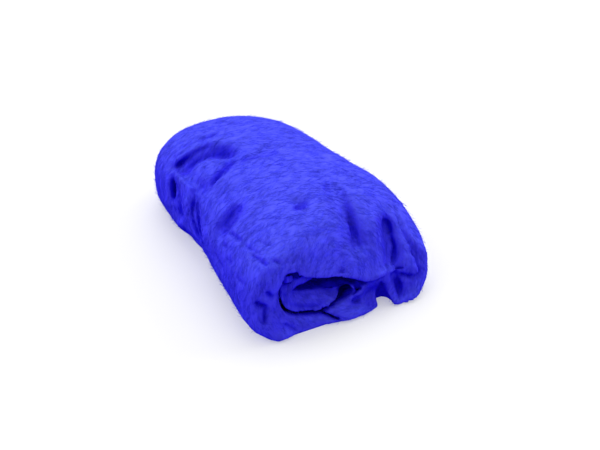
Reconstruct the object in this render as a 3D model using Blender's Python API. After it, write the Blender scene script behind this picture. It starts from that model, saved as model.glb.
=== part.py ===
"""A loosely rolled bundle of carded wool, about 295 mm long, lying on its side.

The bundle is one solid. It is lofted from cross-sections along its length, its folds are then
pressed in or raised along lines on its surface, and the spaces between its turns are cut into
its open end. +Y runs along the roll, the open end faces -Y, and it lies on z = 0.
The tables are in millimetres and degrees, and the model is in metres.
"""

from collections import namedtuple

import bpy
import numpy as np
from mathutils import Vector
from mathutils.geometry import delaunay_2d_cdt

MM = 0.001

# Outer form: one row for each cross-section, from the open end to the far end.
# left, right and top are where its outline reaches, belly is the height of its widest place and
# crown the x of its highest. shoulder is how square its upper corners are, sag how far its right
# shoulder has sunk, and lean how far it leans back for each millimetre of height.
Section = namedtuple("Section", "y left right top belly crown shoulder sag lean")
SECTIONS = (
    Section(-141.5, -74, 91, 65, 18, -46, 2.4, 19, 0.14),
    Section(-138.5, -83, 98, 76, 24, -44, 2.3, 24, 0.14),
    Section(-127, -91, 102, 88, 30, -36, 2.3, 20, 0.10),
    Section(-105, -94, 105, 98, 35, -24, 2.3, 8, 0.04),
    Section(-70, -93, 106, 105, 38, -12, 2.3, 0, 0.0),
    Section(-40, -92, 103, 107, 38, -8, 2.3, 0, 0.0),
    Section(-15, -91, 97, 105, 37, -8, 2.3, 0, 0.0),
    Section(20, -96, 87, 101, 38, -14, 2.3, 0, 0.0),
    Section(55, -98, 80, 99, 38, -20, 2.3, 0, 0.0),
    Section(90, -98, 68, 95, 38, -24, 2.3, 0, 0.0),
    Section(115, -92, 50, 87, 38, -28, 2.3, 0, 0.0),
    Section(132, -76, 32, 74, 37, -28, 2.4, 0, 0.0),
    Section(141.5, -56, 8, 57, 35, -26, 2.5, 0, 0.0),
)
UNDERSIDE_SQUARENESS = 3.2
UNDERSIDE_PRESSED = 3.0  # how deep the round underside is pressed flat by the roll's weight

# The open end's foot is rounded under, and its line on the floor waves: (x, how far back it stands).
FOOT_LINE = ((-80, 4), (-72, -1), (-62, -4), (-50, -2.5), (-38, -0.5), (-24, 0), (-8, -5), (6, -8),
             (18, -6.5), (30, -8), (41, -1), (56, -6), (66, -8.5), (80, -9.5), (92, -3))
FOOT_ROUND = 5.0
FOOT_RISE = 15.0  # the waves die out above this height
FOOT_REACH = 21.0  # how far along the roll the side takes the foot's shape up

# Rings along the roll and points around it: where each run starts and ends, and its steps.
RING_RUNS = ((-141.5, -120, 6), (-120, 0, 24), (0, 70, 17), (70, 141.5, 13))
ANGLE_RUNS = ((-36, 216, 54), (216, 324, 9))
NEAR_SPACING = 3.8
FAR_SPACING = 3.4
EDGE_CLEARANCE = 0.56  # how near an end's points come to its edge, as a share of their spacing
JOIN_DISTANCE = 1e-4
HEIGHT_SMOOTHING = 1
FAR_CENTRE = (-25.0, 32.0)
FAR_BULGE = 5.0

# How a line over the surface is stepped, and how much of a fold is left at its very ends.
LINE_STEP = 1.5
GAP_LINE_STEP = 0.8
END_SHARE = 0.15

# Soft troughs (height below 0) and ridges (above 0) along lines of (y, degrees around) points.
# 0 degrees is the right side, 90 the top and 180 the left. fade is how far its ends take to die out.
Fold = namedtuple("Fold", "name height width fade points")
FOLDS = (
    Fold("valley left of the drape", -8.0, 7, 22,
         ((-58, 75), (-79, 74), (-95, 72), (-110, 69), (-122, 68), (-134, 67))),
    Fold("deep fold into the drape", -12.0, 6, 14,
         ((-102, 52), (-112, 49.5), (-124, 47.5), (-132, 46.5), (-138, 45), (-141, 36))),
    Fold("outer fold of the drape", -7.0, 5, 8, ((-130, 30), (-136, 22), (-140, 10), (-141, -4))),
    Fold("round between the two folds", 3.0, 9, 20, ((-95, 61), (-115, 58), (-132, 56))),
    Fold("dimple on the crown", -4.0, 12, 3, ((-81, 92), (-77, 88))),
    Fold("dimple on the left shoulder", -3.0, 9, 3, ((-46, 129), (-42, 131))),
    Fold("slanting valley on the left", -4.5, 8, 14,
         ((-46, 127), (-49, 139), (-48, 151), (-44, 166))),
    Fold("hollow under the far lobe", -11.0, 7, 26,
         ((66, 150), (61, 136), (60, 125), (58, 115), (52, 106), (36, 93))),
    Fold("hollow behind the flap", -12.0, 8, 16, ((66, 158), (54, 163), (42, 174), (34, 186))),
    Fold("waist under the flap", -6.0, 10, 14, ((42, 200), (26, 200), (10, 199), (-4, 197))),
    Fold("first pleat of the flap", -4.0, 5, 10, ((34, 168), (27, 174), (17, 180), (10, 190))),
    Fold("second pleat of the flap", -4.0, 5, 10, ((18, 160), (11, 168), (4, 174), (-3, 184))),
    Fold("ridge between the pleats", 4.0, 5, 10, ((30, 157), (17, 169), (7, 178))),
    Fold("first line over the far lobe", -2.5, 5, 14, ((84, 132), (77, 114), (75, 104), (78, 92))),
    Fold("second line over the far lobe", -2.5, 5, 16, ((96, 128), (90, 112), (92, 96), (98, 80))),
    Fold("crease up the near left", -5.0, 5, 9,
         ((-131, 160), (-137, 161), (-140, 168), (-140, 180))),
    Fold("nick beside the open end", -6.0, 5, 6, ((-135, 145), (-139, 144), (-141, 145))),
    Fold("long hollow of the right side", -3.0, 16, 40, ((-50, 12), (0, 8), (50, 14), (90, 24))),
    Fold("slack line on the right side", -4.0, 7, 24, ((-30, 40), (-5, 30), (18, 12), (30, -6))),
)

# Laps: the batt's edge lies over the turn beside it. The side to the left of the line, seen from
# outside along its points, stands up by rise, and the other side is pressed in by sink.
Lap = namedtuple("Lap", "name rise sink reach width points")
LAPS = (
    Lap("near lobe over the middle one", 4.0, 9.0, 22, 3.0,
        ((6, 84), (9, 95), (12, 107), (9, 118), (6, 127), (8, 139), (11, 147), (5, 153),
         (-2, 161), (-10, 170), (-19, 178), (-30, 186))),
    Lap("flap over the middle lobe", 5.0, 4.0, 12, 3.0,
        ((16, 147), (24, 146), (36, 145), (50, 145), (62, 149))),
    Lap("far lobe over the middle one", 4.0, 5.0, 16, 3.0,
        ((68, 150), (65, 136), (63, 125), (60, 115), (54, 106), (38, 95))),
)

# The open end, in (x, z) on its face.
MOUTH = ((-50, 69), (-40, 67), (-22, 58), (-4, 52), (8, 45), (20, 38), (31, 32), (22, 26), (11, 21),
         (0, 18), (-10, 15), (-18, 11), (-29, 11.5), (-42, 16), (-53, 23), (-60, 32), (-63, 43), (-62, 55),
         (-58, 64))
MOUTH_RECESS = 8.0
MOUTH_EDGE = 6.0

Dent = namedtuple("Dent", "name x z reach depth")
FACE_DENTS = (
    Dent("wedge's right end", 36, 14, 13, 9),
    Dent("middle of the front edge", -38, 6, 18, 3),
    Dent("crease in the wedge", 17, 17, 5, 3),
    Dent("under the drape's fold", 64, 30, 7, 3),
    Dent("outer fold of the drape", 86, 20, 5, 4),
    Dent("under the lip's left end", -51, 62.5, 6, 8),
)
FACE_FOLDS = (
    Fold("round edges of the turn gap", -4.0, 5, 6,
         ((-47, 67), (-58, 60), (-61.5, 46), (-57, 29), (-42, 17), (-22, 12), (0, 19), (16, 26))),
    Fold("round edges of the floor gap", -3.0, 4, 5, ((-20, 11), (-10, 7), (4, 0))),
    Fold("round lower edge of the hollow", -6.0, 6, 8,
         ((-46, 44), (-34, 38), (-20, 35), (-4, 32), (16, 31))),
    Fold("dark fold of the drape", -6.0, 5, 5, ((58, 40), (60, 30), (63, 18), (66, 4))),
)

# Narrow gaps between turns, cut into the open end along (x, z) lines.
Gap = namedtuple("Gap", "name width depth points")
GAPS = (
    Gap("turn_gap", 3.2, 34,
        ((-43, 66), (-52, 66.5), (-58, 61), (-61, 54), (-61.5, 45), (-60, 36), (-56.5, 28), (-51, 22.5),
         (-45, 18.5), (-37, 15.5), (-28, 13), (-19, 12), (-11, 15), (-4, 17.5), (6, 21), (15, 25))),
    Gap("floor_gap", 2.6, 22, ((-24, 12.5), (-18, 10.5), (-12, 8), (-7, 5.5), (-2, 3))),
)
GAP_STEPS = 26
CUTTER_START = -170.0  # the gaps' cutters start clear of the open end, at this y

# The hollow left open between the turns: its lower and upper edge along x, and how it narrows.
HOLLOW_EDGES = ((-47, 43, 45), (-38, 38, 47.5), (-28, 35.5, 50.5), (-16, 33, 53), (-4, 31, 51),
                (6, 29.5, 47), (15, 30, 41.5), (23, 29.5, 37), (29, 31, 33.5))
HOLLOW_CENTRE = (-10.0, 44.0)
HOLLOW_TAPER = ((-170, 1.0), (-136, 1.0), (-112, 0.95), (-88, 0.78), (-62, 0.4))
HOLLOW_STEPS = 12

# The arch that stays open at the floor beside the drape.
ARCH_OUTLINE = ((40, -8), (40.5, 4), (40, 12), (40.5, 20), (42.5, 27.5), (44.5, 31), (47.5, 25), (51.5, 13),
                (55, 3), (58, -8))
ARCH_CENTRE = (48.0, -8.0)
ARCH_TAPER = ((-170, 1.0), (-136, 1.0), (-131, 0.85), (-127, 0.5))

# The far end shows the batt's edge as a soft spiral groove, one turn's thickness apart.
SPIRAL_PITCH = 17.0
SPIRAL_DEPTH = 5.0
SPIRAL_WIDTH = 3.8
SPIRAL_STRETCH = 1.25  # how much wider than tall the turns are
SPIRAL_HEART = 6.0  # the groove grows in over this distance from its middle
SPIRAL_RIM = (24.0, 36.0)  # it dies out between these distances from its middle
SPIRAL_CLEAR = 14.0  # it dies out below this height, so the foot stays whole
FAR_REACH = 20.0  # how far along the roll the side takes the far end's shape up

WOOL_COLOUR = (0.045, 0.040, 0.62, 1.0)
WOOL_ROUGHNESS = 0.95


def clear_scene():
    for obj in list(bpy.data.objects):
        bpy.data.objects.remove(obj, do_unlink=True)


def smooth(t, knots, values):
    """Reads a smooth curve through the table's values that never overshoots them."""
    step = np.diff(knots)
    rate = np.diff(values) / step
    slope = np.zeros(len(values))
    slope[0] = rate[0]
    slope[-1] = rate[-1]
    for i in range(1, len(values) - 1):
        if rate[i - 1] * rate[i] > 0:
            first = 2 * step[i] + step[i - 1]
            second = step[i] + 2 * step[i - 1]
            slope[i] = (first + second) / (first / rate[i - 1] + second / rate[i])
    k = np.clip(np.searchsorted(knots, t, side="right") - 1, 0, len(knots) - 2)
    s = (t - knots[k]) / step[k]
    start = (1 + 2 * s) * (1 - s) ** 2 * values[k] + s * (1 - s) ** 2 * step[k] * slope[k]
    end = s * s * (3 - 2 * s) * values[k + 1] + s * s * (s - 1) * step[k] * slope[k + 1]
    return start + end


def ease(t):
    t = np.clip(t, 0, 1)
    return t * t * (3 - 2 * t)


def runs(table):
    """Joins evenly stepped runs into one list of values."""
    pieces = [np.linspace(start, end, steps, endpoint=False) for start, end, steps in table]
    return np.concatenate(pieces)


def surface(y, degrees):
    """Points of the smooth outer form, for arrays of places along and around the roll."""
    y, degrees = np.broadcast_arrays(np.asarray(y, float), np.asarray(degrees, float))
    knots = np.array([row.y for row in SECTIONS])
    at = {}
    for name in Section._fields[1:]:
        at[name] = smooth(y, knots, np.array([getattr(row, name) for row in SECTIONS], float))
    cosine = np.cos(np.radians(degrees))
    sine = np.sin(np.radians(degrees))
    half = np.where(cosine >= 0, at["right"] - at["crown"], at["crown"] - at["left"])
    power = np.where(sine >= 0, at["shoulder"], UNDERSIDE_SQUARENESS)
    tall = np.where(sine >= 0, at["top"] - at["belly"], at["belly"] + UNDERSIDE_PRESSED)
    across = np.sign(cosine) * np.abs(cosine) ** (2 / power)
    x = at["crown"] + half * across
    z = at["belly"] + tall * np.sign(sine) * np.abs(sine) ** (2 / power)
    shoulder = np.clip(across, 0, 1)
    most = 2 / 3 ** 1.5
    z = z - np.where(sine > 0, at["sag"] * shoulder * (1 - shoulder ** 2) / most, 0)
    z = np.maximum(z, 0)
    return np.stack([x, y + at["lean"] * z, z], axis=-1)


def through(points, spacing=LINE_STEP):
    """A smooth run of places along a line's own points, in the table's two columns."""
    points = np.array(points, float)
    length = np.concatenate([[0], np.cumsum(np.linalg.norm(np.diff(points, axis=0), axis=1))])
    count = max(int(length[-1] / spacing), 4)
    at = np.linspace(0, length[-1], count)
    return np.stack([smooth(at, length, points[:, k]) for k in range(points.shape[1])], axis=-1)


def nearest(points, line):
    """Each point's distance to a line, and the number of the line's point it is nearest to."""
    apart = np.linalg.norm(points[:, None, :] - line[None, :, :], axis=-1)
    index = apart.argmin(axis=1)
    return apart[np.arange(len(points)), index], index


def fade_at_ends(line, fade):
    length = np.concatenate([[0], np.cumsum(np.linalg.norm(np.diff(line, axis=0), axis=1))])
    return ease(np.minimum(length, length[-1] - length) / fade + END_SHARE)


def fold_height(points, line, fold):
    distance, index = nearest(points, line)
    return fold.height * np.exp(-((distance / fold.width) ** 2)) * fade_at_ends(line, fold.fade)[index]


def lap_height(points, normals, line, lap):
    distance, index = nearest(points, line)
    along = np.gradient(line, axis=0)[index]
    side = np.sign(np.sum(np.cross(normals, along) * (points - line[index]), axis=-1))
    step = np.where(side > 0, lap.rise, -lap.sink) * np.tanh(distance / lap.width)
    return step * np.exp(-((distance / lap.reach) ** 2)) * fade_at_ends(line, lap.reach)[index]


def outward(rings):
    """The outward direction at each point of the rings."""
    along = np.gradient(rings, axis=0)
    around = np.roll(rings, -1, axis=1) - np.roll(rings, 1, axis=1)
    normals = np.cross(along, around)
    length = np.linalg.norm(normals, axis=-1, keepdims=True)
    return normals / np.maximum(length, 1e-9)


def evened(height):
    """Heights on the grid of rings, each drawn towards its neighbours' mean."""
    for _ in range(HEIGHT_SMOOTHING):
        padded = np.concatenate([height[:1], height, height[-1:]])
        beside = padded[:-2] + padded[2:] + np.roll(height, 1, axis=1) + np.roll(height, -1, axis=1)
        height = (height + beside / 4) / 2
    return height


def under_round(z):
    """How far an end stands back at each height, where it is rounded under at the floor."""
    under = np.clip(1 - z / FOOT_ROUND, 0, 1)
    return FOOT_ROUND * (1 - np.sqrt(1 - under ** 2))


def spiral_groove(x, z):
    """The depth of the groove that winds in over the far end."""
    across = (x - FAR_CENTRE[0]) / SPIRAL_STRETCH
    up = z - FAR_CENTRE[1]
    out = np.hypot(across, up)
    turn = out / SPIRAL_PITCH - np.arctan2(up, across) / (2 * np.pi)
    off = (turn - np.round(turn)) * SPIRAL_PITCH
    kept = ease(out / SPIRAL_HEART) * ease((SPIRAL_RIM[1] - out) / (SPIRAL_RIM[1] - SPIRAL_RIM[0]))
    return SPIRAL_DEPTH * np.exp(-((off / SPIRAL_WIDTH) ** 2)) * kept * ease(z / SPIRAL_CLEAR)


def foot_back(x, z):
    """How far the open end stands back at its foot, where it waves and is rounded under."""
    table = np.array(FOOT_LINE, float)
    wave = smooth(np.clip(x, table[0, 0], table[-1, 0]), table[:, 0], table[:, 1])
    return wave * (1 - ease(z / FOOT_RISE)) + under_round(z)


def far_back(x, z):
    """How far the far end stands back in its groove and at its foot."""
    return spiral_groove(x, z) + under_round(z)


def side_rings():
    """The rings along the roll with their folds and laps, shaped to both ends."""
    ys = np.append(runs(RING_RUNS), RING_RUNS[-1][1])
    rings = surface(ys[:, None], runs(ANGLE_RUNS)[None, :])
    normals = outward(rings)
    points = rings.reshape(-1, 3)
    flat_normals = normals.reshape(-1, 3)
    height = np.zeros(len(points))
    for fold in FOLDS:
        line = surface(*through(fold.points).T)
        height += fold_height(points, line, fold)
    for lap in LAPS:
        line = surface(*through(lap.points).T)
        height += lap_height(points, flat_normals, line, lap)
    height = evened(height.reshape(rings.shape[:2])).reshape(-1)
    points = points + flat_normals * height[:, None]
    points[:, 2] = np.where(rings.reshape(-1, 3)[:, 2] <= 0, 0, np.maximum(points[:, 2], 0))
    near = ease(1 - (points[:, 1] - SECTIONS[0].y) / FOOT_REACH)
    far = ease(1 - (SECTIONS[-1].y - points[:, 1]) / FAR_REACH)
    points[:, 1] += foot_back(points[:, 0], points[:, 2]) * near
    points[:, 1] -= far_back(points[:, 0], points[:, 2]) * far
    return points.reshape(rings.shape)


def inside_distance(points, outline):
    """How far inside a closed outline each (x, z) point is, and 0 outside it."""
    corners = np.array(outline, float)
    following = np.roll(corners, -1, axis=0)
    edge = following - corners
    offset = points[:, None, :] - corners[None, :, :]
    along = np.clip(np.sum(offset * edge, axis=-1) / np.sum(edge * edge, axis=-1), 0, 1)
    apart = np.linalg.norm(offset - along[..., None] * edge, axis=-1).min(axis=1)
    above = points[:, None, 1] >= corners[None, :, 1]
    crosses = above != (points[:, None, 1] >= following[None, :, 1])
    rise = np.where(edge[:, 1] == 0, 1, edge[:, 1])
    x_cross = corners[:, 0] + edge[:, 0] * (points[:, None, 1] - corners[:, 1]) / rise
    inside = (crosses & (points[:, None, 0] < x_cross)).sum(axis=1) % 2 == 1
    return np.where(inside, apart, 0)


def face_depth(face):
    """How far each (x, z) point of the open end lies behind its front."""
    depth = MOUTH_RECESS * ease(inside_distance(face, MOUTH) / MOUTH_EDGE)
    for dent in FACE_DENTS:
        distance = np.hypot(face[:, 0] - dent.x, face[:, 1] - dent.z)
        depth += dent.depth * np.exp(-((distance / dent.reach) ** 2))
    for fold in FACE_FOLDS:
        depth -= fold_height(face, through(fold.points), fold)
    return depth


def near_place(flat):
    """Where the open end's face lies at each (x, z) point."""
    front = SECTIONS[0].y + SECTIONS[0].lean * flat[:, 1]
    return front + face_depth(flat) + foot_back(flat[:, 0], flat[:, 1])


def far_place(flat):
    """Where the far end's low dome lies at each (x, z) point, with its groove and foot."""
    out = np.linalg.norm(flat - np.array(FAR_CENTRE), axis=1)
    dome = FAR_BULGE * (1 - (out / out.max()) ** 2)
    return SECTIONS[-1].y + dome - far_back(flat[:, 0], flat[:, 1])


def end_face(edge, place, spacing):
    """Even triangles that close an end: new points, and faces that count the edge's first."""
    outline = edge[:, [0, 2]]
    low = outline.min(axis=0)
    high = outline.max(axis=0)
    rows = np.arange(low[1], high[1], spacing * np.sqrt(3) / 2)
    grid = []
    for i, z in enumerate(rows):
        start = low[0] + (i % 2) * spacing / 2
        grid.extend((x, z) for x in np.arange(start, high[0], spacing))
    grid = np.array(grid)
    grid = grid[inside_distance(grid, outline) > spacing * EDGE_CLEARANCE]
    flat = [Vector(point) for point in np.concatenate([outline, grid])]
    rim = list(range(len(outline)))
    made = delaunay_2d_cdt(flat, [], [rim], 1, JOIN_DISTANCE)
    points = np.array([tuple(point) for point in made[0]])
    inner = points[len(outline):]
    return np.stack([inner[:, 0], place(inner), inner[:, 1]], axis=-1), made[2]


def add_mesh(name, points, faces):
    mesh = bpy.data.meshes.new(name)
    mesh.from_pydata([tuple(point * MM) for point in points], [], faces)
    mesh.validate()
    obj = bpy.data.objects.new(name, mesh)
    bpy.context.scene.collection.objects.link(obj)
    return obj


def faces_between(ring_count, around):
    """Faces that join each ring of points to the next."""
    faces = []
    for i in range(ring_count - 1):
        for j in range(around):
            after = (j + 1) % around
            faces.append((i * around + j, i * around + after, (i + 1) * around + after, (i + 1) * around + j))
    return faces


def face_out(obj):
    """Turns a closed mesh's faces outwards."""
    bpy.context.view_layer.objects.active = obj
    obj.select_set(True)
    bpy.ops.object.mode_set(mode="EDIT")
    bpy.ops.mesh.select_all(action="SELECT")
    bpy.ops.mesh.normals_make_consistent(inside=False)
    bpy.ops.object.mode_set(mode="OBJECT")
    obj.select_set(False)


def outline_loft(name, outline, centre, taper):
    """A cutter that follows one (x, z) outline along y and narrows towards its centre."""
    outline = np.array(outline, float)
    rings = []
    for y, scale in taper:
        flat = np.array(centre) + (outline - np.array(centre)) * scale
        rings.append(np.stack([flat[:, 0], np.full(len(flat), float(y)), flat[:, 1]], axis=-1))
    around = len(outline)
    last = (len(rings) - 1) * around
    faces = faces_between(len(rings), around)
    faces.append(tuple(range(around)))
    faces.append(tuple(range(last, last + around)))
    return add_mesh(name, np.concatenate(rings), faces)


def hollow_outline():
    """The hollow's closed outline, from its table of lower and upper edges."""
    table = np.array(HOLLOW_EDGES, float)
    xs = np.linspace(table[0, 0], table[-1, 0], HOLLOW_STEPS)
    low = smooth(xs, table[:, 0], table[:, 1])
    high = smooth(xs, table[:, 0], table[:, 2])
    lower = list(zip(xs, low))
    upper = list(zip(xs, high))
    return lower + upper[::-1]


def gap_outline(gap):
    """The closed outline of a narrow gap, half its width to each side of its line."""
    line = through(gap.points, spacing=GAP_LINE_STEP)
    line = line[np.linspace(0, len(line) - 1, GAP_STEPS).astype(int)]
    along = np.gradient(line, axis=0)
    along /= np.linalg.norm(along, axis=-1, keepdims=True)
    across = np.stack([-along[:, 1], along[:, 0]], axis=-1) * gap.width / 2
    return np.concatenate([line + across, (line - across)[::-1]])


def add_cutter(body, cutter):
    face_out(cutter)
    cutter.hide_render = True
    cutter.display_type = "WIRE"
    cut = body.modifiers.new(cutter.name, "BOOLEAN")
    cut.operation = "DIFFERENCE"
    cut.solver = "EXACT"
    cut.object = cutter


def wool_material():
    material = bpy.data.materials.new("blue_wool")
    material.use_nodes = True
    shader = material.node_tree.nodes["Principled BSDF"]
    shader.inputs["Base Color"].default_value = WOOL_COLOUR
    shader.inputs["Roughness"].default_value = WOOL_ROUGHNESS
    shader.inputs["Metallic"].default_value = 0.0
    return material


def make_roll():
    """The rolled batt, with its cutters as Boolean modifiers."""
    rings = side_rings()
    around = rings.shape[1]
    last_ring = (len(rings) - 1) * around
    faces = faces_between(len(rings), around)
    points = [rings.reshape(-1, 3)]
    count = last_ring + around
    ends = ((rings[0], 0, near_place, NEAR_SPACING), (rings[-1], last_ring, far_place, FAR_SPACING))
    for edge, first_of_edge, place, spacing in ends:
        new_points, triangles = end_face(edge, place, spacing)
        for triangle in triangles:
            faces.append([first_of_edge + i if i < around else count + i - around for i in triangle])
        points.append(new_points)
        count += len(new_points)
    points = np.concatenate(points)
    body = add_mesh("carded_wool_roll", points, faces)
    face_out(body)
    body.data.materials.append(wool_material())
    body.data.shade_smooth()
    cutters = [outline_loft("hollow_cutter", hollow_outline(), HOLLOW_CENTRE, HOLLOW_TAPER)]
    cutters.append(outline_loft("arch_cutter", ARCH_OUTLINE, ARCH_CENTRE, ARCH_TAPER))
    for gap in GAPS:
        taper = ((CUTTER_START, 1.0), (SECTIONS[0].y + gap.depth, 1.0))
        cutters.append(outline_loft(gap.name + "_cutter", gap_outline(gap), (0, 0), taper))
    for cutter in cutters:
        add_cutter(body, cutter)
    low = points.min(axis=0)
    high = points.max(axis=0)
    middle = (low + high) / 2 * MM
    for obj in [body] + cutters:
        obj.location = (-middle[0], -middle[1], 0)


clear_scene()
make_roll()
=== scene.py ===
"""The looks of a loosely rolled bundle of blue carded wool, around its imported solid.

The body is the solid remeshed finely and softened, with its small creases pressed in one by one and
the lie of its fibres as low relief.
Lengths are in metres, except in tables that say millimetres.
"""

import math
from collections import namedtuple

import bpy
import numpy as np
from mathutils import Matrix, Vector, noise
from mathutils.bvhtree import BVHTree


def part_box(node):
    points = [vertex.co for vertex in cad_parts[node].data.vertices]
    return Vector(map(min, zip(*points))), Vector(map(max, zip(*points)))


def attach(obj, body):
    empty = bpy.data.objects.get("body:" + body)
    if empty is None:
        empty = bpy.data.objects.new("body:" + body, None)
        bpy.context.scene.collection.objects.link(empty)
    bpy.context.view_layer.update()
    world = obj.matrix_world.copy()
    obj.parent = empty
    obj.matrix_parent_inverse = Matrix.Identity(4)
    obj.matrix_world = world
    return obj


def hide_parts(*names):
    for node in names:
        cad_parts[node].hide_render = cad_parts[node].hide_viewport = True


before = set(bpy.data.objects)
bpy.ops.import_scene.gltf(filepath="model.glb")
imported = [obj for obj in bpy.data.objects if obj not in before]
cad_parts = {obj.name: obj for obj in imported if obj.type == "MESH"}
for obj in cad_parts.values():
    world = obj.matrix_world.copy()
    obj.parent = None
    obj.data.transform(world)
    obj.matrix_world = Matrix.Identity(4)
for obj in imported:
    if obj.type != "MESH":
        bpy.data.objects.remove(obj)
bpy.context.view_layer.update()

MM = 0.001
SEED = 7
ROLL = "carded_wool_roll"
LOW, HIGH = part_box(ROLL)

# The line that the batt is wound about: everything about its fibres turns round it.
AXIS_HEIGHT_SHARE = 0.42
AXIS_X = (LOW.x + HIGH.x) / 2
AXIS_Z = HIGH.z * AXIS_HEIGHT_SHARE
WOUND_RADIUS = 0.07

# The body's mesh: its grain, how its edges are rounded off, and what of it belongs to the foot.
VOXEL = 0.0011
WELD_DISTANCE = 1e-6
SMOOTH_ROUNDS = 6
CREASE_ROUNDS = 1
SMOOTH_IN = 0.5
SMOOTH_OUT = -0.52
FOOT_BAND = VOXEL / 4
PLAIN_FOOT = 0.001
MOST_TRIANGLES = 190000

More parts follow.
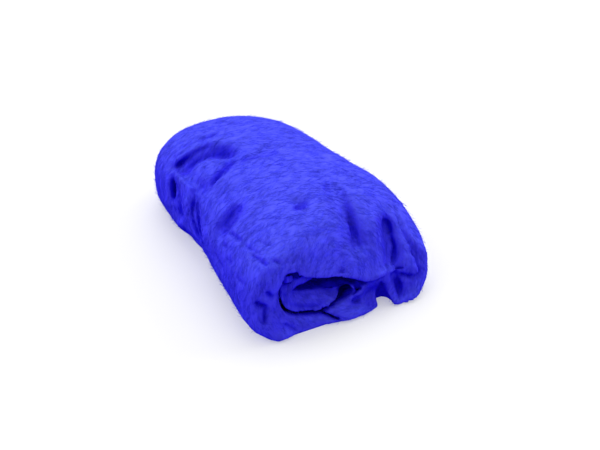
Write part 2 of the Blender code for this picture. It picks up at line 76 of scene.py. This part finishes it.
# Creases pressed into the wool (depth above 0) and ridges raised on it (below 0), each along a
# line of (x, y, z) points near the surface, all in millimetres. A sharp one is a V, the others
# are round troughs. fade is how far its ends take to die out.
Crease = namedtuple("Crease", "name depth width sharp fade points")
CREASES = (
    Crease("valley left of the drape", 2.0, 6.0, False, 20,
           ((28, -54, 103), (25, -66, 100), (25, -79, 95), (26, -89, 90), (25, -96, 85), (25, -103, 79),
            (25, -108, 72), (24, -114, 66), (21, -119, 61), (16, -125, 57))),
    Crease("its narrow bed", 4.8, 2.6, False, 26,
           ((25, -79, 95), (26, -89, 90), (25, -96, 85), (25, -103, 79), (25, -108, 72), (24, -114, 66),
            (22, -119, 61))),
    Crease("fold into the drape, upper run", 5.0, 3.4, False, 12,
           ((62, -97, 78), (62, -100, 73), (63, -104, 66), (62, -109, 60), (62, -113, 56))),
    Crease("fold into the drape, lower run", 6.5, 1.6, True, 9,
           ((62, -108, 61), (63, -113, 55), (63, -117, 52), (61, -121, 46), (59, -124, 41),
            (58, -129, 37))),
    Crease("turn at its foot", 6.0, 1.5, True, 3, ((58, -129, 37), (61, -133, 37), (66, -135, 36))),
    Crease("small crease across the drape", 6.0, 1.5, True, 3,
           ((62, -131, 27), (67, -135, 26), (71, -137, 25), (76, -136, 21))),
    Crease("outer fold of the drape", 4.5, 1.5, True, 7,
           ((80, -125, 49), (83, -127, 38), (83, -131, 33), (84, -133, 25), (83, -136, 17))),
    Crease("dark wedge under the drape", 3.0, 2.6, False, 8,
           ((59, -128, 26), (60, -131, 20), (61, -134, 12), (60, -141, 6))),
    Crease("streak down the drape", 1.6, 2.4, False, 12, ((82, -78, 79), (75, -105, 71), (78, -116, 61))),
    Crease("second streak down the drape", 1.8, 2.2, False, 8,
           ((74, -110, 67), (79, -122, 55), (83, -125, 43))),
    Crease("ridge down the drape", -1.5, 3.0, False, 12,
           ((80, -89, 78), (81, -100, 73), (82, -114, 63), (86, -123, 50), (88, -129, 34))),
    Crease("under the far lobe", 3.0, 4.4, False, 34,
           ((-93, 72, 70), (-90, 72, 73), (-86, 69, 76), (-81, 68, 78), (-76, 67, 82), (-71, 67, 85),
            (-65, 66, 88), (-57, 65, 92), (-48, 62, 95), (-39, 58, 99))),
    Crease("its dark end", 5.5, 2.6, False, 16,
           ((-95, 71, 67), (-93, 72, 70), (-90, 72, 73), (-86, 69, 76), (-81, 68, 78), (-76, 67, 82),
            (-71, 67, 85))),
    Crease("beside the near lobe's edge", 4.0, 4.2, False, 24,
           ((-84, 22, 70), (-82, 15, 75), (-80, 9, 82), (-75, 8, 87), (-67, 16, 83), (-61, 18, 86),
            (-55, 20, 89), (-48, 24, 91), (-39, 29, 93), (-30, 36, 96))),
    Crease("dark end of the middle lobe", 3.0, 7.5, False, 14,
           ((-49, 55, 92), (-45, 50, 87), (-42, 42, 90), (-46, 32, 91))),
    Crease("upper edge of the flap", -2.6, 2.6, False, 5,
           ((-90, 68, 71), (-91, 52, 73), (-90, 38, 74), (-87, 30, 72), (-85, 25, 71))),
    Crease("slit behind the flap", 7.0, 2.4, False, 10,
           ((-93, 68, 68), (-94, 66, 65), (-95, 64, 57), (-96, 60, 50), (-98, 57, 45), (-99, 54, 41))),
    Crease("near lobe's bright edge", -3.2, 2.2, False, 8,
           ((-85, 19, 70), (-87, 16, 63), (-88, 12, 56), (-90, 8, 48), (-90, 4, 39), (-92, -4, 32),
            (-91, -10, 26))),
    Crease("shadow beside that edge", 3.2, 2.2, False, 10,
           ((-86, 23, 70), (-90, 19, 61), (-93, 17, 53), (-93, 12, 42), (-93, 6, 32), (-93, 0, 24))),
    Crease("first pleat of the flap", 2.8, 2.2, True, 8, ((-91, 49, 46), (-95, 45, 36), (-96, 34, 33))),
    Crease("second pleat of the flap", 2.6, 1.8, True, 8,
           ((-94, 26, 62), (-95, 21, 55), (-95, 18, 48), (-94, 13, 40))),
    Crease("ridge between the pleats", -2.4, 2.2, False, 8,
           ((-93, 50, 52), (-94, 36, 50), (-96, 24, 45), (-96, 18, 38))),
    Crease("slanting valley", 7.0, 6.5, False, 18,
           ((-64, -43, 95), (-74, -42, 85), (-81, -43, 79), (-85, -43, 71), (-91, -43, 62))),
    Crease("wrinkle above the open end", 3.5, 1.6, True, 6,
           ((-82, -96, 80), (-78, -107, 81), (-75, -116, 80), (-72, -121, 78))),
    Crease("second wrinkle above the open end", 2.5, 1.8, True, 6,
           ((-82, -84, 82), (-79, -97, 84), (-73, -108, 84))),
    Crease("third wrinkle above the open end", 2.2, 2.0, True, 6,
           ((-72, -92, 89), (-67, -101, 90), (-60, -109, 90))),
    Crease("wrinkle down the left shoulder", 2.2, 2.4, False, 8,
           ((-84, -54, 76), (-83, -72, 81), (-81, -83, 82))),
    Crease("wrinkle on the left, first", 3.0, 1.6, True, 4, ((-92, -57, 65), (-90, -67, 69))),
    Crease("wrinkle on the left, second", 3.0, 1.6, True, 4, ((-94, -74, 61), (-94, -84, 62))),
    Crease("wrinkle on the left, third", 3.0, 1.6, True, 4, ((-96, -95, 56), (-94, -110, 58))),
    Crease("slack along the left", 2.0, 4.0, False, 10, ((-96, -41, 46), (-96, -56, 45), (-97, -72, 44))),
    Crease("wrinkle over the open end, first", 3.2, 1.6, True, 3, ((-67, -118, 83), (-61, -124, 79))),
    Crease("wrinkle over the open end, second", 3.2, 1.6, True, 3, ((-52, -124, 80), (-48, -126, 78))),
    Crease("nick beside the open end", 5.5, 1.8, True, 4,
           ((-79, -127, 56), (-76, -130, 52), (-73, -133, 48))),
    Crease("crease up the near left", 5.5, 1.7, True, 5,
           ((-89, -125, 46), (-86, -127, 41), (-81, -130, 40), (-82, -132, 34), (-83, -133, 28),
            (-84, -135, 20))),
    Crease("faint line beside it", 2.5, 2.0, False, 4, ((-72, -134, 39), (-74, -136, 31))),
    Crease("crease in the front edge", 4.0, 1.7, True, 4,
           ((-65, -137, 18), (-57, -138, 10), (-51, -138, 5))),
    Crease("dimple on the crown", 5.0, 8.0, False, 1, ((-20, -74, 102), (-18, -81, 102))),
    Crease("dimple on the left shoulder", 2.5, 5.5, False, 1, ((-67, -41, 93), (-66, -47, 93))),
    Crease("swirl on the crown, first", 2.0, 1.7, True, 4,
           ((37, -41, 102), (44, -39, 100), (48, -41, 99), (51, -49, 98))),
    Crease("swirl on the crown, second", 2.0, 1.7, True, 4,
           ((9, -41, 106), (17, -40, 106), (23, -41, 105))),
    Crease("slack on the crown", 2.4, 3.0, False, 6, ((20, -55, 104), (14, -69, 101))),
    Crease("line over the far lobe, first", 2.8, 2.4, False, 8,
           ((-61, 78, 92), (-48, 78, 94), (-35, 79, 96))),
    Crease("line over the far lobe, second", 2.2, 2.4, False, 8,
           ((-79, 86, 84), (-71, 84, 87), (-63, 81, 91))),
    Crease("line over the far lobe, third", 2.4, 2.4, False, 8,
           ((-90, 83, 75), (-79, 76, 86), (-66, 73, 92), (-50, 71, 97))),
    Crease("line over the far lobe, fourth", 1.8, 2.2, False, 8,
           ((-34, 93, 93), (-20, 93, 93), (-7, 89, 94))),
    Crease("shadow under the lip", 9.0, 3.6, False, 4,
           ((-58, -129, 60), (-54, -128, 64), (-48, -127, 63), (-41, -127, 60))),
    Crease("nick in the lip", 4.0, 1.7, True, 2, ((-3, -130, 55), (2, -131, 52))),
    Crease("curled rim of the lip", -2.4, 2.2, False, 6,
           ((20, -135, 39), (30, -135, 36), (39, -135, 37), (47, -132, 38))),
    Crease("crease in the wedge", 4.5, 2.0, True, 3, ((8, -136, 18), (14, -135, 14), (19, -135, 14))),
    Crease("end of the turn gap", 6.0, 2.0, True, 3, ((9, -132, 23), (14, -133, 27), (18, -133, 30))),
    Crease("dark end of the hollow", 9.0, 4.4, False, 2, ((13, -132, 30), (18, -133, 31))),
    Crease("sunk edge of the inner turn", 3.5, 7.0, False, 12,
           ((-20, -127, 33), (-8, -127, 32), (4, -128, 30), (12, -129, 29))),
)

# How a crease's line is drawn: its steps in millimetres, and how often its corners are eased. A
# crease still presses this many of its widths away.
LINE_STEP = 1.0
LEAST_STEPS = 3
CORNER_ROUNDS = 3
CREASE_REACH = 3

# The low relief: its forms' length round the roll, their width across it, and their height. They
# wander along the roll by RELIEF_WANDER, in waves of RELIEF_WANDER_SIZE.
Relief = namedtuple("Relief", "long wide height")
BROAD = Relief(0.022, 0.009, 0.00042)
STREAK = Relief(0.010, 0.0032, 0.00010)
RELIEF_WANDER = 0.008
RELIEF_WANDER_SIZE = 0.03

# Openness, from 0 in a closed fold to 1: the share of short rays off the surface that meet nothing.
# It masks the painted shade of the wool, in its folds and, through GROUND_SHARE, where it faces down.
OPEN_RAYS = 20
OPEN_REACH = 0.028
OPEN_START = 0.0008
OPEN_SOFTENING = 6
GROUND_SHARE = 0.3  # what a ray that points down counts, because less light comes from below

# Fibres, one row for each joined mesh of them: lengths, radius, how far they lie off the wool and
# how far their loose ends stand up, in millimetres, and their colour where they lie in the open.
Fibres = namedtuple("Fibres", "name tufts each length radius lift loose colour")
FIBRES = (
    Fibres("fibres_pale", 2600, 3, (5, 12), 0.13, 0.2, 0.0, (0.108, 0.126, 1.00)),
    Fibres("fibres_mid", 2600, 3, (5, 12), 0.13, 0.2, 0.0, (0.090, 0.102, 0.97)),
    Fibres("fibres_deep", 2600, 3, (5, 11), 0.12, 0.1, 0.0, (0.072, 0.078, 0.90)),
    Fibres("fibres_loose", 3900, 2, (4, 11), 0.08, 0.6, 4.5, (0.108, 0.126, 1.00)),
)
QUICK_SHARE = 1.0

# Each fibre: its points, the angles of its three sides, and how its lift and its loose end vary.
FIBRE_POINTS = 6
SIDE_ANGLES = np.radians((90, 210, 330))
LIFT_SHARES = (0.2, 1.0)
LOOSE_POWER = 1.5  # above 1, so that most loose ends stay low

# How a tuft's fibres spread across and along their lie, in millimetres, and how their lie turns, in
# radians, at random and in slow waves over the wool.
TUFT_SPREAD = 0.6
TUFT_STAGGER = 2.0
SCATTER = 0.35
WANDER = 0.6
WANDER_SIZE = 0.026
NO_LENGTH = 1e-6

# Fibres start where the wool faces this much open space, and stay this far above the floor. Twice
# the places needed are drawn, because some of them lie in gaps.
OPEN_SPACE = 0.012
OPEN_SPACE_START = 0.0005
FLOOR_CLEAR = 0.0015
PLACES_DRAWN = 2

# The wool's colour where it is open and faces up, and the painted shade that makes it darker and deeper
# blue in its folds and where it faces sideways or down. Each shade is whole below its first openness
# and gone above its second.
BODY_COLOUR = (0.090, 0.102, 1.00)
PAINTED_FOLD_SHADES = (
    ((0.048, 0.041, 0.87), 0.72, 1.02),
    ((0.009, 0.004, 0.70), 0.40, 0.74),
    ((0.0003, 0.0001, 0.10), 0.08, 0.44),
)
WOOL_ROUGHNESS = 0.85

# Noise that the colour and the bump share: its scale, its detail and how far it is stretched round
# the roll. Where it is low the wool is matted and keeps only a part of its colour.
Grain = namedtuple("Grain", "scale detail stretch")
STREAK_GRAIN = Grain(420, 3, 6)
MOTTLE_GRAIN = Grain(90, 3, 2.5)
WANDER_GRAIN = Grain(40, 2, 1)
GRAIN_WANDER = 0.02
GRAIN_SHARE = 0.5
MATTED_LOW = 0.34
MATTED_HIGH = 0.66
MOTTLE_DARKEST = 0.70
BUMP_STRENGTH = 0.18
BUMP_DISTANCE = 0.0008

# A Mix node's colour sockets.
MIX_FIRST = 6
MIX_SECOND = 7
MIX_RESULT = 2

FLOOR_HALF = 4.0
FLOOR_GREY = 0.60
FLOOR_ROUGHNESS = 0.8
FLOOR_SPECULAR = 0.1
FLOOR_GLOW = 0.33

WORLD_STRENGTH = 0.78
Lamp = namedtuple("Lamp", "name place size watts")
LAMPS = (
    Lamp("overhead", (0.35, 0.80, 1.7), 1.6, 11),
    Lamp("left", (-1.2, 0.6, 0.8), 1.2, 8.5),
    Lamp("right", (1.4, 0.1, 0.8), 1.2, 11),
)

CAMERA_AZIMUTH = math.radians(-26)
CAMERA_ELEVATION = math.radians(38)
CAMERA_DISTANCE = 1.2
CAMERA_TARGET = Vector((-0.0035, -0.0392, 0.045))
CAMERA_LENS = 72.0
CAMERA_SENSOR = 36.0
CAMERA_RIGHT_OFFSET = 0.003
CAMERA_UP_OFFSET = 0.001


def mesh_object(name, points, faces):
    mesh = bpy.data.meshes.new(name)
    mesh.from_pydata([tuple(point) for point in points], [], faces)
    obj = bpy.data.objects.new(name, mesh)
    bpy.context.scene.collection.objects.link(obj)
    return obj


def values_of(items, name, width, kind=np.float32):
    """One value of each of a mesh's vertices, edges or faces, as rows of numbers."""
    flat = np.zeros(len(items) * width, kind)
    items.foreach_get(name, flat)
    return flat.reshape(-1, width)


def points_of(mesh):
    return values_of(mesh.vertices, "co", 3).astype(float)


def normals_of(mesh):
    return values_of(mesh.vertices, "normal", 3).astype(float)


def edges_of(mesh):
    return values_of(mesh.edges, "vertices", 2, np.int32)


def set_points(mesh, points):
    mesh.vertices.foreach_set("co", points.astype(np.float32).ravel())
    mesh.update()


def edge_counts(edges, count):
    """How many edges meet at each vertex."""
    return np.bincount(edges.ravel(), minlength=count).astype(float)


def neighbour_mean(values, edges, count):
    """Each vertex's neighbours' mean value."""
    total = np.zeros_like(values)
    for k in range(values.shape[1]):
        total[:, k] = np.bincount(edges[:, 0], values[edges[:, 1], k], len(values))
        total[:, k] += np.bincount(edges[:, 1], values[edges[:, 0], k], len(values))
    return total / count[:, None]


def soften(mesh, rounds):
    """Rounds off facets and cut edges without shrinking the form, and keeps the foot flat."""
    points = points_of(mesh)
    edges = edges_of(mesh)
    count = edge_counts(edges, len(points))
    on_floor = points[:, 2] < FOOT_BAND
    for _ in range(rounds):
        for pull in (SMOOTH_IN, SMOOTH_OUT):
            points += pull * (neighbour_mean(points, edges, count) - points)
        points[on_floor, 2] = 0
    points[:, 2] = np.maximum(points[:, 2], 0)
    set_points(mesh, points)


def apply_modifiers(obj):
    graph = bpy.context.evaluated_depsgraph_get()
    mesh = bpy.data.meshes.new_from_object(obj.evaluated_get(graph))
    mesh.name = obj.name
    obj.modifiers.clear()
    obj.data = mesh


def remeshed_copy(node, name):
    """A fine even mesh of a solid's shape, as an object of its own."""
    made = bpy.data.objects.new(name, node.data.copy())
    bpy.context.scene.collection.objects.link(made)
    weld = made.modifiers.new("weld", "WELD")
    weld.merge_threshold = WELD_DISTANCE
    remesh = made.modifiers.new("remesh", "REMESH")
    remesh.mode = "VOXEL"
    remesh.voxel_size = VOXEL
    apply_modifiers(made)
    return made


def thin(obj):
    """Takes triangles out where the surface is flat, down to the most that a piece may have."""
    count = sum(len(face.vertices) - 2 for face in obj.data.polygons)
    if count <= MOST_TRIANGLES:
        return
    decimate = obj.modifiers.new("thin", "DECIMATE")
    decimate.ratio = MOST_TRIANGLES / count
    apply_modifiers(obj)


def tree_of(mesh):
    return BVHTree.FromPolygons([v.co for v in mesh.vertices], [tuple(p.vertices) for p in mesh.polygons])


def stepped(points):
    """A crease's line in even small steps, its corners eased."""
    points = np.array(points, float)
    length = np.concatenate([[0], np.cumsum(np.linalg.norm(np.diff(points, axis=0), axis=1))])
    at = np.linspace(0, length[-1], max(int(length[-1] / LINE_STEP), LEAST_STEPS))
    line = np.stack([np.interp(at, length, points[:, k]) for k in range(3)], axis=-1)
    for _ in range(CORNER_ROUNDS):
        line[1:-1] = (line[:-2] + 2 * line[1:-1] + line[2:]) / 4
    return line


def crease_height(points, tree):
    """How far each point is pressed in by the creases and raised by the ridges, in metres."""
    height = np.zeros(len(points))
    for crease in CREASES:
        places = [Vector(place * MM) for place in stepped(crease.points)]
        line = np.array([tuple(tree.find_nearest(place)[0]) for place in places])
        reach = CREASE_REACH * crease.width * MM
        low = line.min(axis=0) - reach
        high = line.max(axis=0) + reach
        near = np.flatnonzero(np.all((points > low) & (points < high), axis=1))
        apart = np.linalg.norm(points[near][:, None, :] - line[None, :, :], axis=-1)
        index = apart.argmin(axis=1)
        off = apart[np.arange(len(near)), index] / (crease.width * MM)
        profile = np.exp(-off) * (off < CREASE_REACH) if crease.sharp else np.exp(-off ** 2)
        steps_in = np.minimum(index, len(line) - 1 - index) + 0.5
        kept = np.clip(steps_in * LINE_STEP / crease.fade, 0, 1)
        height[near] -= crease.depth * MM * profile * kept * kept * (3 - 2 * kept)
    return height


def wound_place(points):
    """Places counted round the roll, along it and out from its axis."""
    x = points[:, 0] - AXIS_X
    z = points[:, 2] - AXIS_Z
    around = np.arctan2(x, z)
    return np.stack([around * WOUND_RADIUS, points[:, 1], np.hypot(x, z)], axis=-1)


def stretched_noise(around, along, out, long, wide):
    return noise.noise(Vector((around / long, along / wide, out / wide)))


def fibre_relief(points):
    """Low ridges that follow the lie of the fibres."""
    height = np.zeros(len(points))
    for i, (around, along, out) in enumerate(wound_place(points)):
        wander = stretched_noise(around, along, out, RELIEF_WANDER_SIZE, RELIEF_WANDER_SIZE)
        along = along + wander * RELIEF_WANDER
        for relief in (BROAD, STREAK):
            height[i] += stretched_noise(around, along, out, relief.long, relief.wide) * relief.height
    return height


def make_body():
    body = remeshed_copy(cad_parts[ROLL], "wool_batt")
    soften(body.data, SMOOTH_ROUNDS)
    points = points_of(body.data)
    points += normals_of(body.data) * crease_height(points, tree_of(body.data))[:, None]
    set_points(body.data, points)
    soften(body.data, CREASE_ROUNDS)
    points = points_of(body.data)
    height = fibre_relief(points)
    height[points[:, 2] < PLAIN_FOOT] = 0
    points += normals_of(body.data) * height[:, None]
    points[:, 2] = np.maximum(points[:, 2], 0)
    set_points(body.data, points)
    thin(body)
    body.data.shade_smooth()
    return body


def ray_directions(count):
    """Even directions over a hemisphere, more of them near its pole, as (side, side, up)."""
    made = []
    for i in range(count):
        out = math.sqrt((i + 0.5) / count)
        angle = i * math.pi * (3 - math.sqrt(5))
        made.append((out * math.cos(angle), out * math.sin(angle), math.sqrt(1 - out * out)))
    return made


def openness(mesh, tree):
    """How open each vertex is to the space around it."""
    directions = ray_directions(OPEN_RAYS)
    found = np.zeros(len(mesh.vertices))
    for i, vertex in enumerate(mesh.vertices):
        normal = vertex.normal
        side = normal.orthogonal().normalized()
        other = normal.cross(side)
        start = vertex.co + normal * OPEN_START
        free = 0
        for a, b, up in directions:
            way = side * a + other * b + normal * up
            if tree.ray_cast(start, way, OPEN_REACH)[0] is None:
                free += 1 if way.z > 0 else GROUND_SHARE
        found[i] = free / OPEN_RAYS
    edges = edges_of(mesh)
    count = edge_counts(edges, len(found))
    for _ in range(OPEN_SOFTENING):
        found = (found + neighbour_mean(found[:, None], edges, count)[:, 0]) / 2
    return found


def store_openness(mesh, values):
    layer = mesh.attributes.new("openness", "FLOAT", "POINT")
    layer.data.foreach_set("value", np.asarray(values, np.float32))


def lie_of(place, normal, turn):
    """The way a fibre runs at a place: round the roll, turned a little and kept on the surface."""
    around = Vector((place.z - AXIS_Z, 0, AXIS_X - place.x))
    around -= normal * around.dot(normal)
    if around.length < NO_LENGTH:
        return None
    around.normalize()
    angle = turn + WANDER * noise.noise(place / WANDER_SIZE)
    return around * math.cos(angle) + normal.cross(around) * math.sin(angle)


def fibre_path(tree, start, turn, length, lift, loose):
    """Points of one fibre that lies on the wool and stands up towards its end, with the surface's
    normals and faces under them."""
    step = length / (FIBRE_POINTS - 1)
    place, normal, face = tree.find_nearest(start)[:3]
    points = []
    normals = []
    faces = []
    for i in range(FIBRE_POINTS):
        share = i / (FIBRE_POINTS - 1)
        off = lift * math.sin(math.pi * share) + loose * share * share
        point = place + normal * off
        points.append((point.x, point.y, max(point.z, FLOOR_CLEAR)))
        normals.append(tuple(normal))
        faces.append(face)
        way = lie_of(place, normal, turn)
        if way is None:
            return None
        place, normal, face = tree.find_nearest(place + way * step)[:3]
    return points, normals, faces


def fibre_mesh(name, paths, normals, radius):
    """Closed three-sided fibres with pointed ends, joined in one mesh."""
    paths = np.array(paths)
    normals = np.array(normals)
    count = len(paths)
    rings = FIBRE_POINTS - 2
    along = np.gradient(paths, axis=1)
    along /= np.linalg.norm(along, axis=-1, keepdims=True)
    side = np.cross(along, normals)
    side /= np.linalg.norm(side, axis=-1, keepdims=True)
    rise = np.cross(side, along)
    turned = side[:, 1:-1, None, :] * np.cos(SIDE_ANGLES)[:, None]
    turned = turned + rise[:, 1:-1, None, :] * np.sin(SIDE_ANGLES)[:, None]
    ring_points = (paths[:, 1:-1, None, :] + turned * radius).reshape(count, rings * 3, 3)
    points = np.concatenate([ring_points, paths[:, :1], paths[:, -1:]], axis=1)
    first, last = rings * 3, rings * 3 + 1
    faces = []
    for k in range(3):
        after = (k + 1) % 3
        faces.append((first, after, k))
        faces.append((last, (rings - 1) * 3 + k, (rings - 1) * 3 + after))
        for i in range(rings - 1):
            low, high = i * 3, (i + 1) * 3
            faces.append((low + k, low + after, high + after))
            faces.append((low + k, high + after, high + k))
    faces = np.array(faces)
    every = (faces[None] + np.arange(count)[:, None, None] * points.shape[1]).reshape(-1, 3)
    return mesh_object(name, points.reshape(-1, 3), every.tolist())


def fibre_openness(opened):
    """Each fibre point's openness, in the order of fibre_mesh: its rings, then its two ends."""
    rings = np.repeat(opened[:, 1:-1], 3, axis=1)
    return np.concatenate([rings, opened[:, :1], opened[:, -1:]], axis=1).ravel()


def open_places(mesh, tree, count, rng):
    """Places spread evenly over the wool, away from the floor and out of its gaps."""
    area = values_of(mesh.polygons, "area", 1).ravel()
    centres = values_of(mesh.polygons, "center", 3)
    area[centres[:, 2] < 2 * FLOOR_CLEAR] = 0
    places = []
    for index in rng.choice(len(area), count * PLACES_DRAWN, p=area / area.sum()):
        place = Vector(centres[index])
        normal = mesh.polygons[int(index)].normal.copy()
        if tree.ray_cast(place + normal * OPEN_SPACE_START, normal, OPEN_SPACE)[0] is None:
            places.append((place, normal))
        if len(places) == count:
            break
    return places


def make_fibres(row, mesh, face_open, tree, rng):
    """One row's fibres, in tufts of nearly the same lie, as one joined mesh."""
    paths = []
    normals = []
    faces = []
    for place, normal in open_places(mesh, tree, int(row.tufts * QUICK_SHARE), rng):
        turn = rng.normal(0, SCATTER)
        for _ in range(row.each):
            shift = Vector(rng.normal(0, TUFT_SPREAD * MM, 3))
            way = lie_of(place, normal, turn)
            if way is None:
                continue
            shift += way * rng.normal(0, TUFT_STAGGER * MM)
            length = rng.uniform(*row.length) * MM
            lift = row.lift * MM * rng.uniform(*LIFT_SHARES)
            loose = row.loose * MM * rng.uniform(0, 1) ** LOOSE_POWER
            made = fibre_path(tree, place + shift, turn + rng.normal(0, SCATTER / 2), length, lift, loose)
            if made:
                paths.append(made[0])
                normals.append(made[1])
                faces.append(made[2])
    fibres = fibre_mesh(row.name, paths, normals, row.radius * MM)
    # The fibres take the painted shade of the wool where they start.
    store_openness(fibres.data, fibre_openness(face_open[np.array(faces)]))
    return fibres


def math_node(tree, operation, first, second=None):
    made = tree.nodes.new("ShaderNodeMath")
    made.operation = operation
    for socket, value in zip(made.inputs, (first, second)):
        if value is None:
            continue
        if isinstance(value, (int, float)):
            socket.default_value = value
        else:
            tree.links.new(value, socket)
    return made.outputs[0]


def noise_node(tree, place, grain):
    made = tree.nodes.new("ShaderNodeTexNoise")
    made.inputs["Scale"].default_value = grain.scale
    made.inputs["Detail"].default_value = grain.detail
    tree.links.new(place, made.inputs["Vector"])
    return made.outputs["Fac"]


def range_node(tree, value, low, high, least=0.0, kind="LINEAR"):
    """A value's way from low to high, counted from least to 1."""
    made = tree.nodes.new("ShaderNodeMapRange")
    made.interpolation_type = kind
    made.inputs["From Min"].default_value = low
    made.inputs["From Max"].default_value = high
    made.inputs["To Min"].default_value = least
    tree.links.new(value, made.inputs["Value"])
    return made.outputs[0]


def grain_nodes(tree):
    """Noise that follows the lie of the fibres round the roll."""
    place = tree.nodes.new("ShaderNodeTexCoord").outputs["Object"]
    split = tree.nodes.new("ShaderNodeSeparateXYZ")
    tree.links.new(place, split.inputs[0])
    x = math_node(tree, "SUBTRACT", split.outputs["X"], AXIS_X)
    z = math_node(tree, "SUBTRACT", split.outputs["Z"], AXIS_Z)
    around = math_node(tree, "MULTIPLY", math_node(tree, "ARCTAN2", x, z), WOUND_RADIUS)
    square = math_node(tree, "ADD", math_node(tree, "MULTIPLY", x, x), math_node(tree, "MULTIPLY", z, z))
    out = math_node(tree, "SQRT", square)
    wander = math_node(tree, "SUBTRACT", noise_node(tree, place, WANDER_GRAIN), 0.5)
    along = math_node(tree, "ADD", split.outputs["Y"], math_node(tree, "MULTIPLY", wander, GRAIN_WANDER))
    shares = []
    for grain in (STREAK_GRAIN, MOTTLE_GRAIN):
        joined = tree.nodes.new("ShaderNodeCombineXYZ")
        tree.links.new(math_node(tree, "DIVIDE", around, grain.stretch), joined.inputs[0])
        tree.links.new(along, joined.inputs[1])
        tree.links.new(out, joined.inputs[2])
        shares.append(math_node(tree, "MULTIPLY", noise_node(tree, joined.outputs[0], grain), GRAIN_SHARE))
    return math_node(tree, "ADD", *shares)


def painted_fold_shade_nodes(tree, open_colour):
    """The wool's colour by its openness: painted shade, darker and deeper blue in its folds and where it
    faces down.
    """
    opened = tree.nodes.new("ShaderNodeAttribute")
    opened.attribute_name = "openness"
    whole = tree.nodes.new("ShaderNodeRGB")
    whole.outputs[0].default_value = (*open_colour, 1)
    colour = whole.outputs[0]
    for painted_shade_colour, closed, gone in PAINTED_FOLD_SHADES:
        share = range_node(tree, opened.outputs["Fac"], closed, gone, kind="SMOOTHSTEP")
        fold_shade_mix = tree.nodes.new("ShaderNodeMix")
        fold_shade_mix.data_type = "RGBA"
        fold_shade_mix.inputs[MIX_FIRST].default_value = (*painted_shade_colour, 1)
        tree.links.new(share, fold_shade_mix.inputs[0])
        tree.links.new(colour, fold_shade_mix.inputs[MIX_SECOND])
        colour = fold_shade_mix.outputs[MIX_RESULT]
    return colour


def wool_material(name, open_colour):
    material = bpy.data.materials.new(name)
    material.use_nodes = True
    tree = material.node_tree
    shader = tree.nodes["Principled BSDF"]
    grain = grain_nodes(tree)
    shaded = tree.nodes.new("ShaderNodeVectorMath")
    shaded.operation = "SCALE"
    # The colour with its painted shade in the folds, then scaled by the random mottle.
    tree.links.new(painted_fold_shade_nodes(tree, open_colour), shaded.inputs[0])
    tree.links.new(range_node(tree, grain, MATTED_LOW, MATTED_HIGH, MOTTLE_DARKEST), shaded.inputs["Scale"])
    tree.links.new(shaded.outputs[0], shader.inputs["Base Color"])
    bump = tree.nodes.new("ShaderNodeBump")
    bump.inputs["Strength"].default_value = BUMP_STRENGTH
    bump.inputs["Distance"].default_value = BUMP_DISTANCE
    tree.links.new(grain, bump.inputs["Height"])
    tree.links.new(bump.outputs[0], shader.inputs["Normal"])
    shader.inputs["Roughness"].default_value = WOOL_ROUGHNESS
    shader.inputs["Specular IOR Level"].default_value = 0.0
    return material


def floor_material():
    material = bpy.data.materials.new("pale_floor")
    material.use_nodes = True
    shader = material.node_tree.nodes["Principled BSDF"]
    shader.inputs["Base Color"].default_value = (FLOOR_GREY, FLOOR_GREY, FLOOR_GREY, 1)
    shader.inputs["Roughness"].default_value = FLOOR_ROUGHNESS
    shader.inputs["Specular IOR Level"].default_value = FLOOR_SPECULAR
    shader.inputs["Emission Color"].default_value = (1, 1, 1, 1)
    shader.inputs["Emission Strength"].default_value = FLOOR_GLOW
    return material


def make_stage():
    half = FLOOR_HALF
    corners = ((-half, -half, 0), (half, -half, 0), (half, half, 0), (-half, half, 0))
    floor = mesh_object("floor", corners, [(0, 1, 2, 3)])
    floor.data.materials.append(floor_material())


def make_lights():
    world = bpy.data.worlds.new("studio")
    world.use_nodes = True
    background = world.node_tree.nodes["Background"]
    background.inputs["Color"].default_value = (1, 1, 1, 1)
    background.inputs["Strength"].default_value = WORLD_STRENGTH
    bpy.context.scene.world = world
    for lamp in LAMPS:
        light = bpy.data.lights.new(lamp.name, "AREA")
        light.shape = "DISK"
        light.size = lamp.size
        light.energy = lamp.watts
        obj = bpy.data.objects.new(lamp.name, light)
        obj.location = lamp.place
        obj.rotation_euler = (-Vector(lamp.place)).to_track_quat("-Z", "Y").to_euler()
        bpy.context.scene.collection.objects.link(obj)


def make_camera():
    back = Vector((math.sin(CAMERA_AZIMUTH) * math.cos(CAMERA_ELEVATION),
                   -math.cos(CAMERA_AZIMUTH) * math.cos(CAMERA_ELEVATION),
                   math.sin(CAMERA_ELEVATION)))
    right = Vector((math.cos(CAMERA_AZIMUTH), math.sin(CAMERA_AZIMUTH), 0))
    up = back.cross(right)
    data = bpy.data.cameras.new("camera")
    data.lens = CAMERA_LENS
    data.sensor_width = CAMERA_SENSOR
    camera = bpy.data.objects.new("camera", data)
    camera.location = CAMERA_TARGET + back * CAMERA_DISTANCE
    aim = CAMERA_TARGET + right * CAMERA_RIGHT_OFFSET + up * CAMERA_UP_OFFSET
    camera.rotation_euler = (aim - camera.location).to_track_quat("-Z", "Y").to_euler()
    bpy.context.scene.collection.objects.link(camera)
    bpy.context.scene.camera = camera


def main():
    bpy.context.scene.view_settings.view_transform = "Standard"
    make_camera()
    make_lights()
    make_stage()
    body = make_body()
    body.data.materials.clear()
    body.data.materials.append(wool_material("wool", BODY_COLOUR))
    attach(body, "root")
    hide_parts(ROLL)
    tree = tree_of(body.data)
    # Openness masks the painted shade in the wool's colour and its fibres' colour.
    body_open = openness(body.data, tree)
    store_openness(body.data, body_open)
    face_open = np.array([body_open[face.vertices[0]] for face in body.data.polygons])
    rng = np.random.default_rng(SEED)
    for row in FIBRES:
        fibres = make_fibres(row, body.data, face_open, tree, rng)
        fibres.data.materials.append(wool_material(row.name, row.colour))
        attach(fibres, "root")


main()
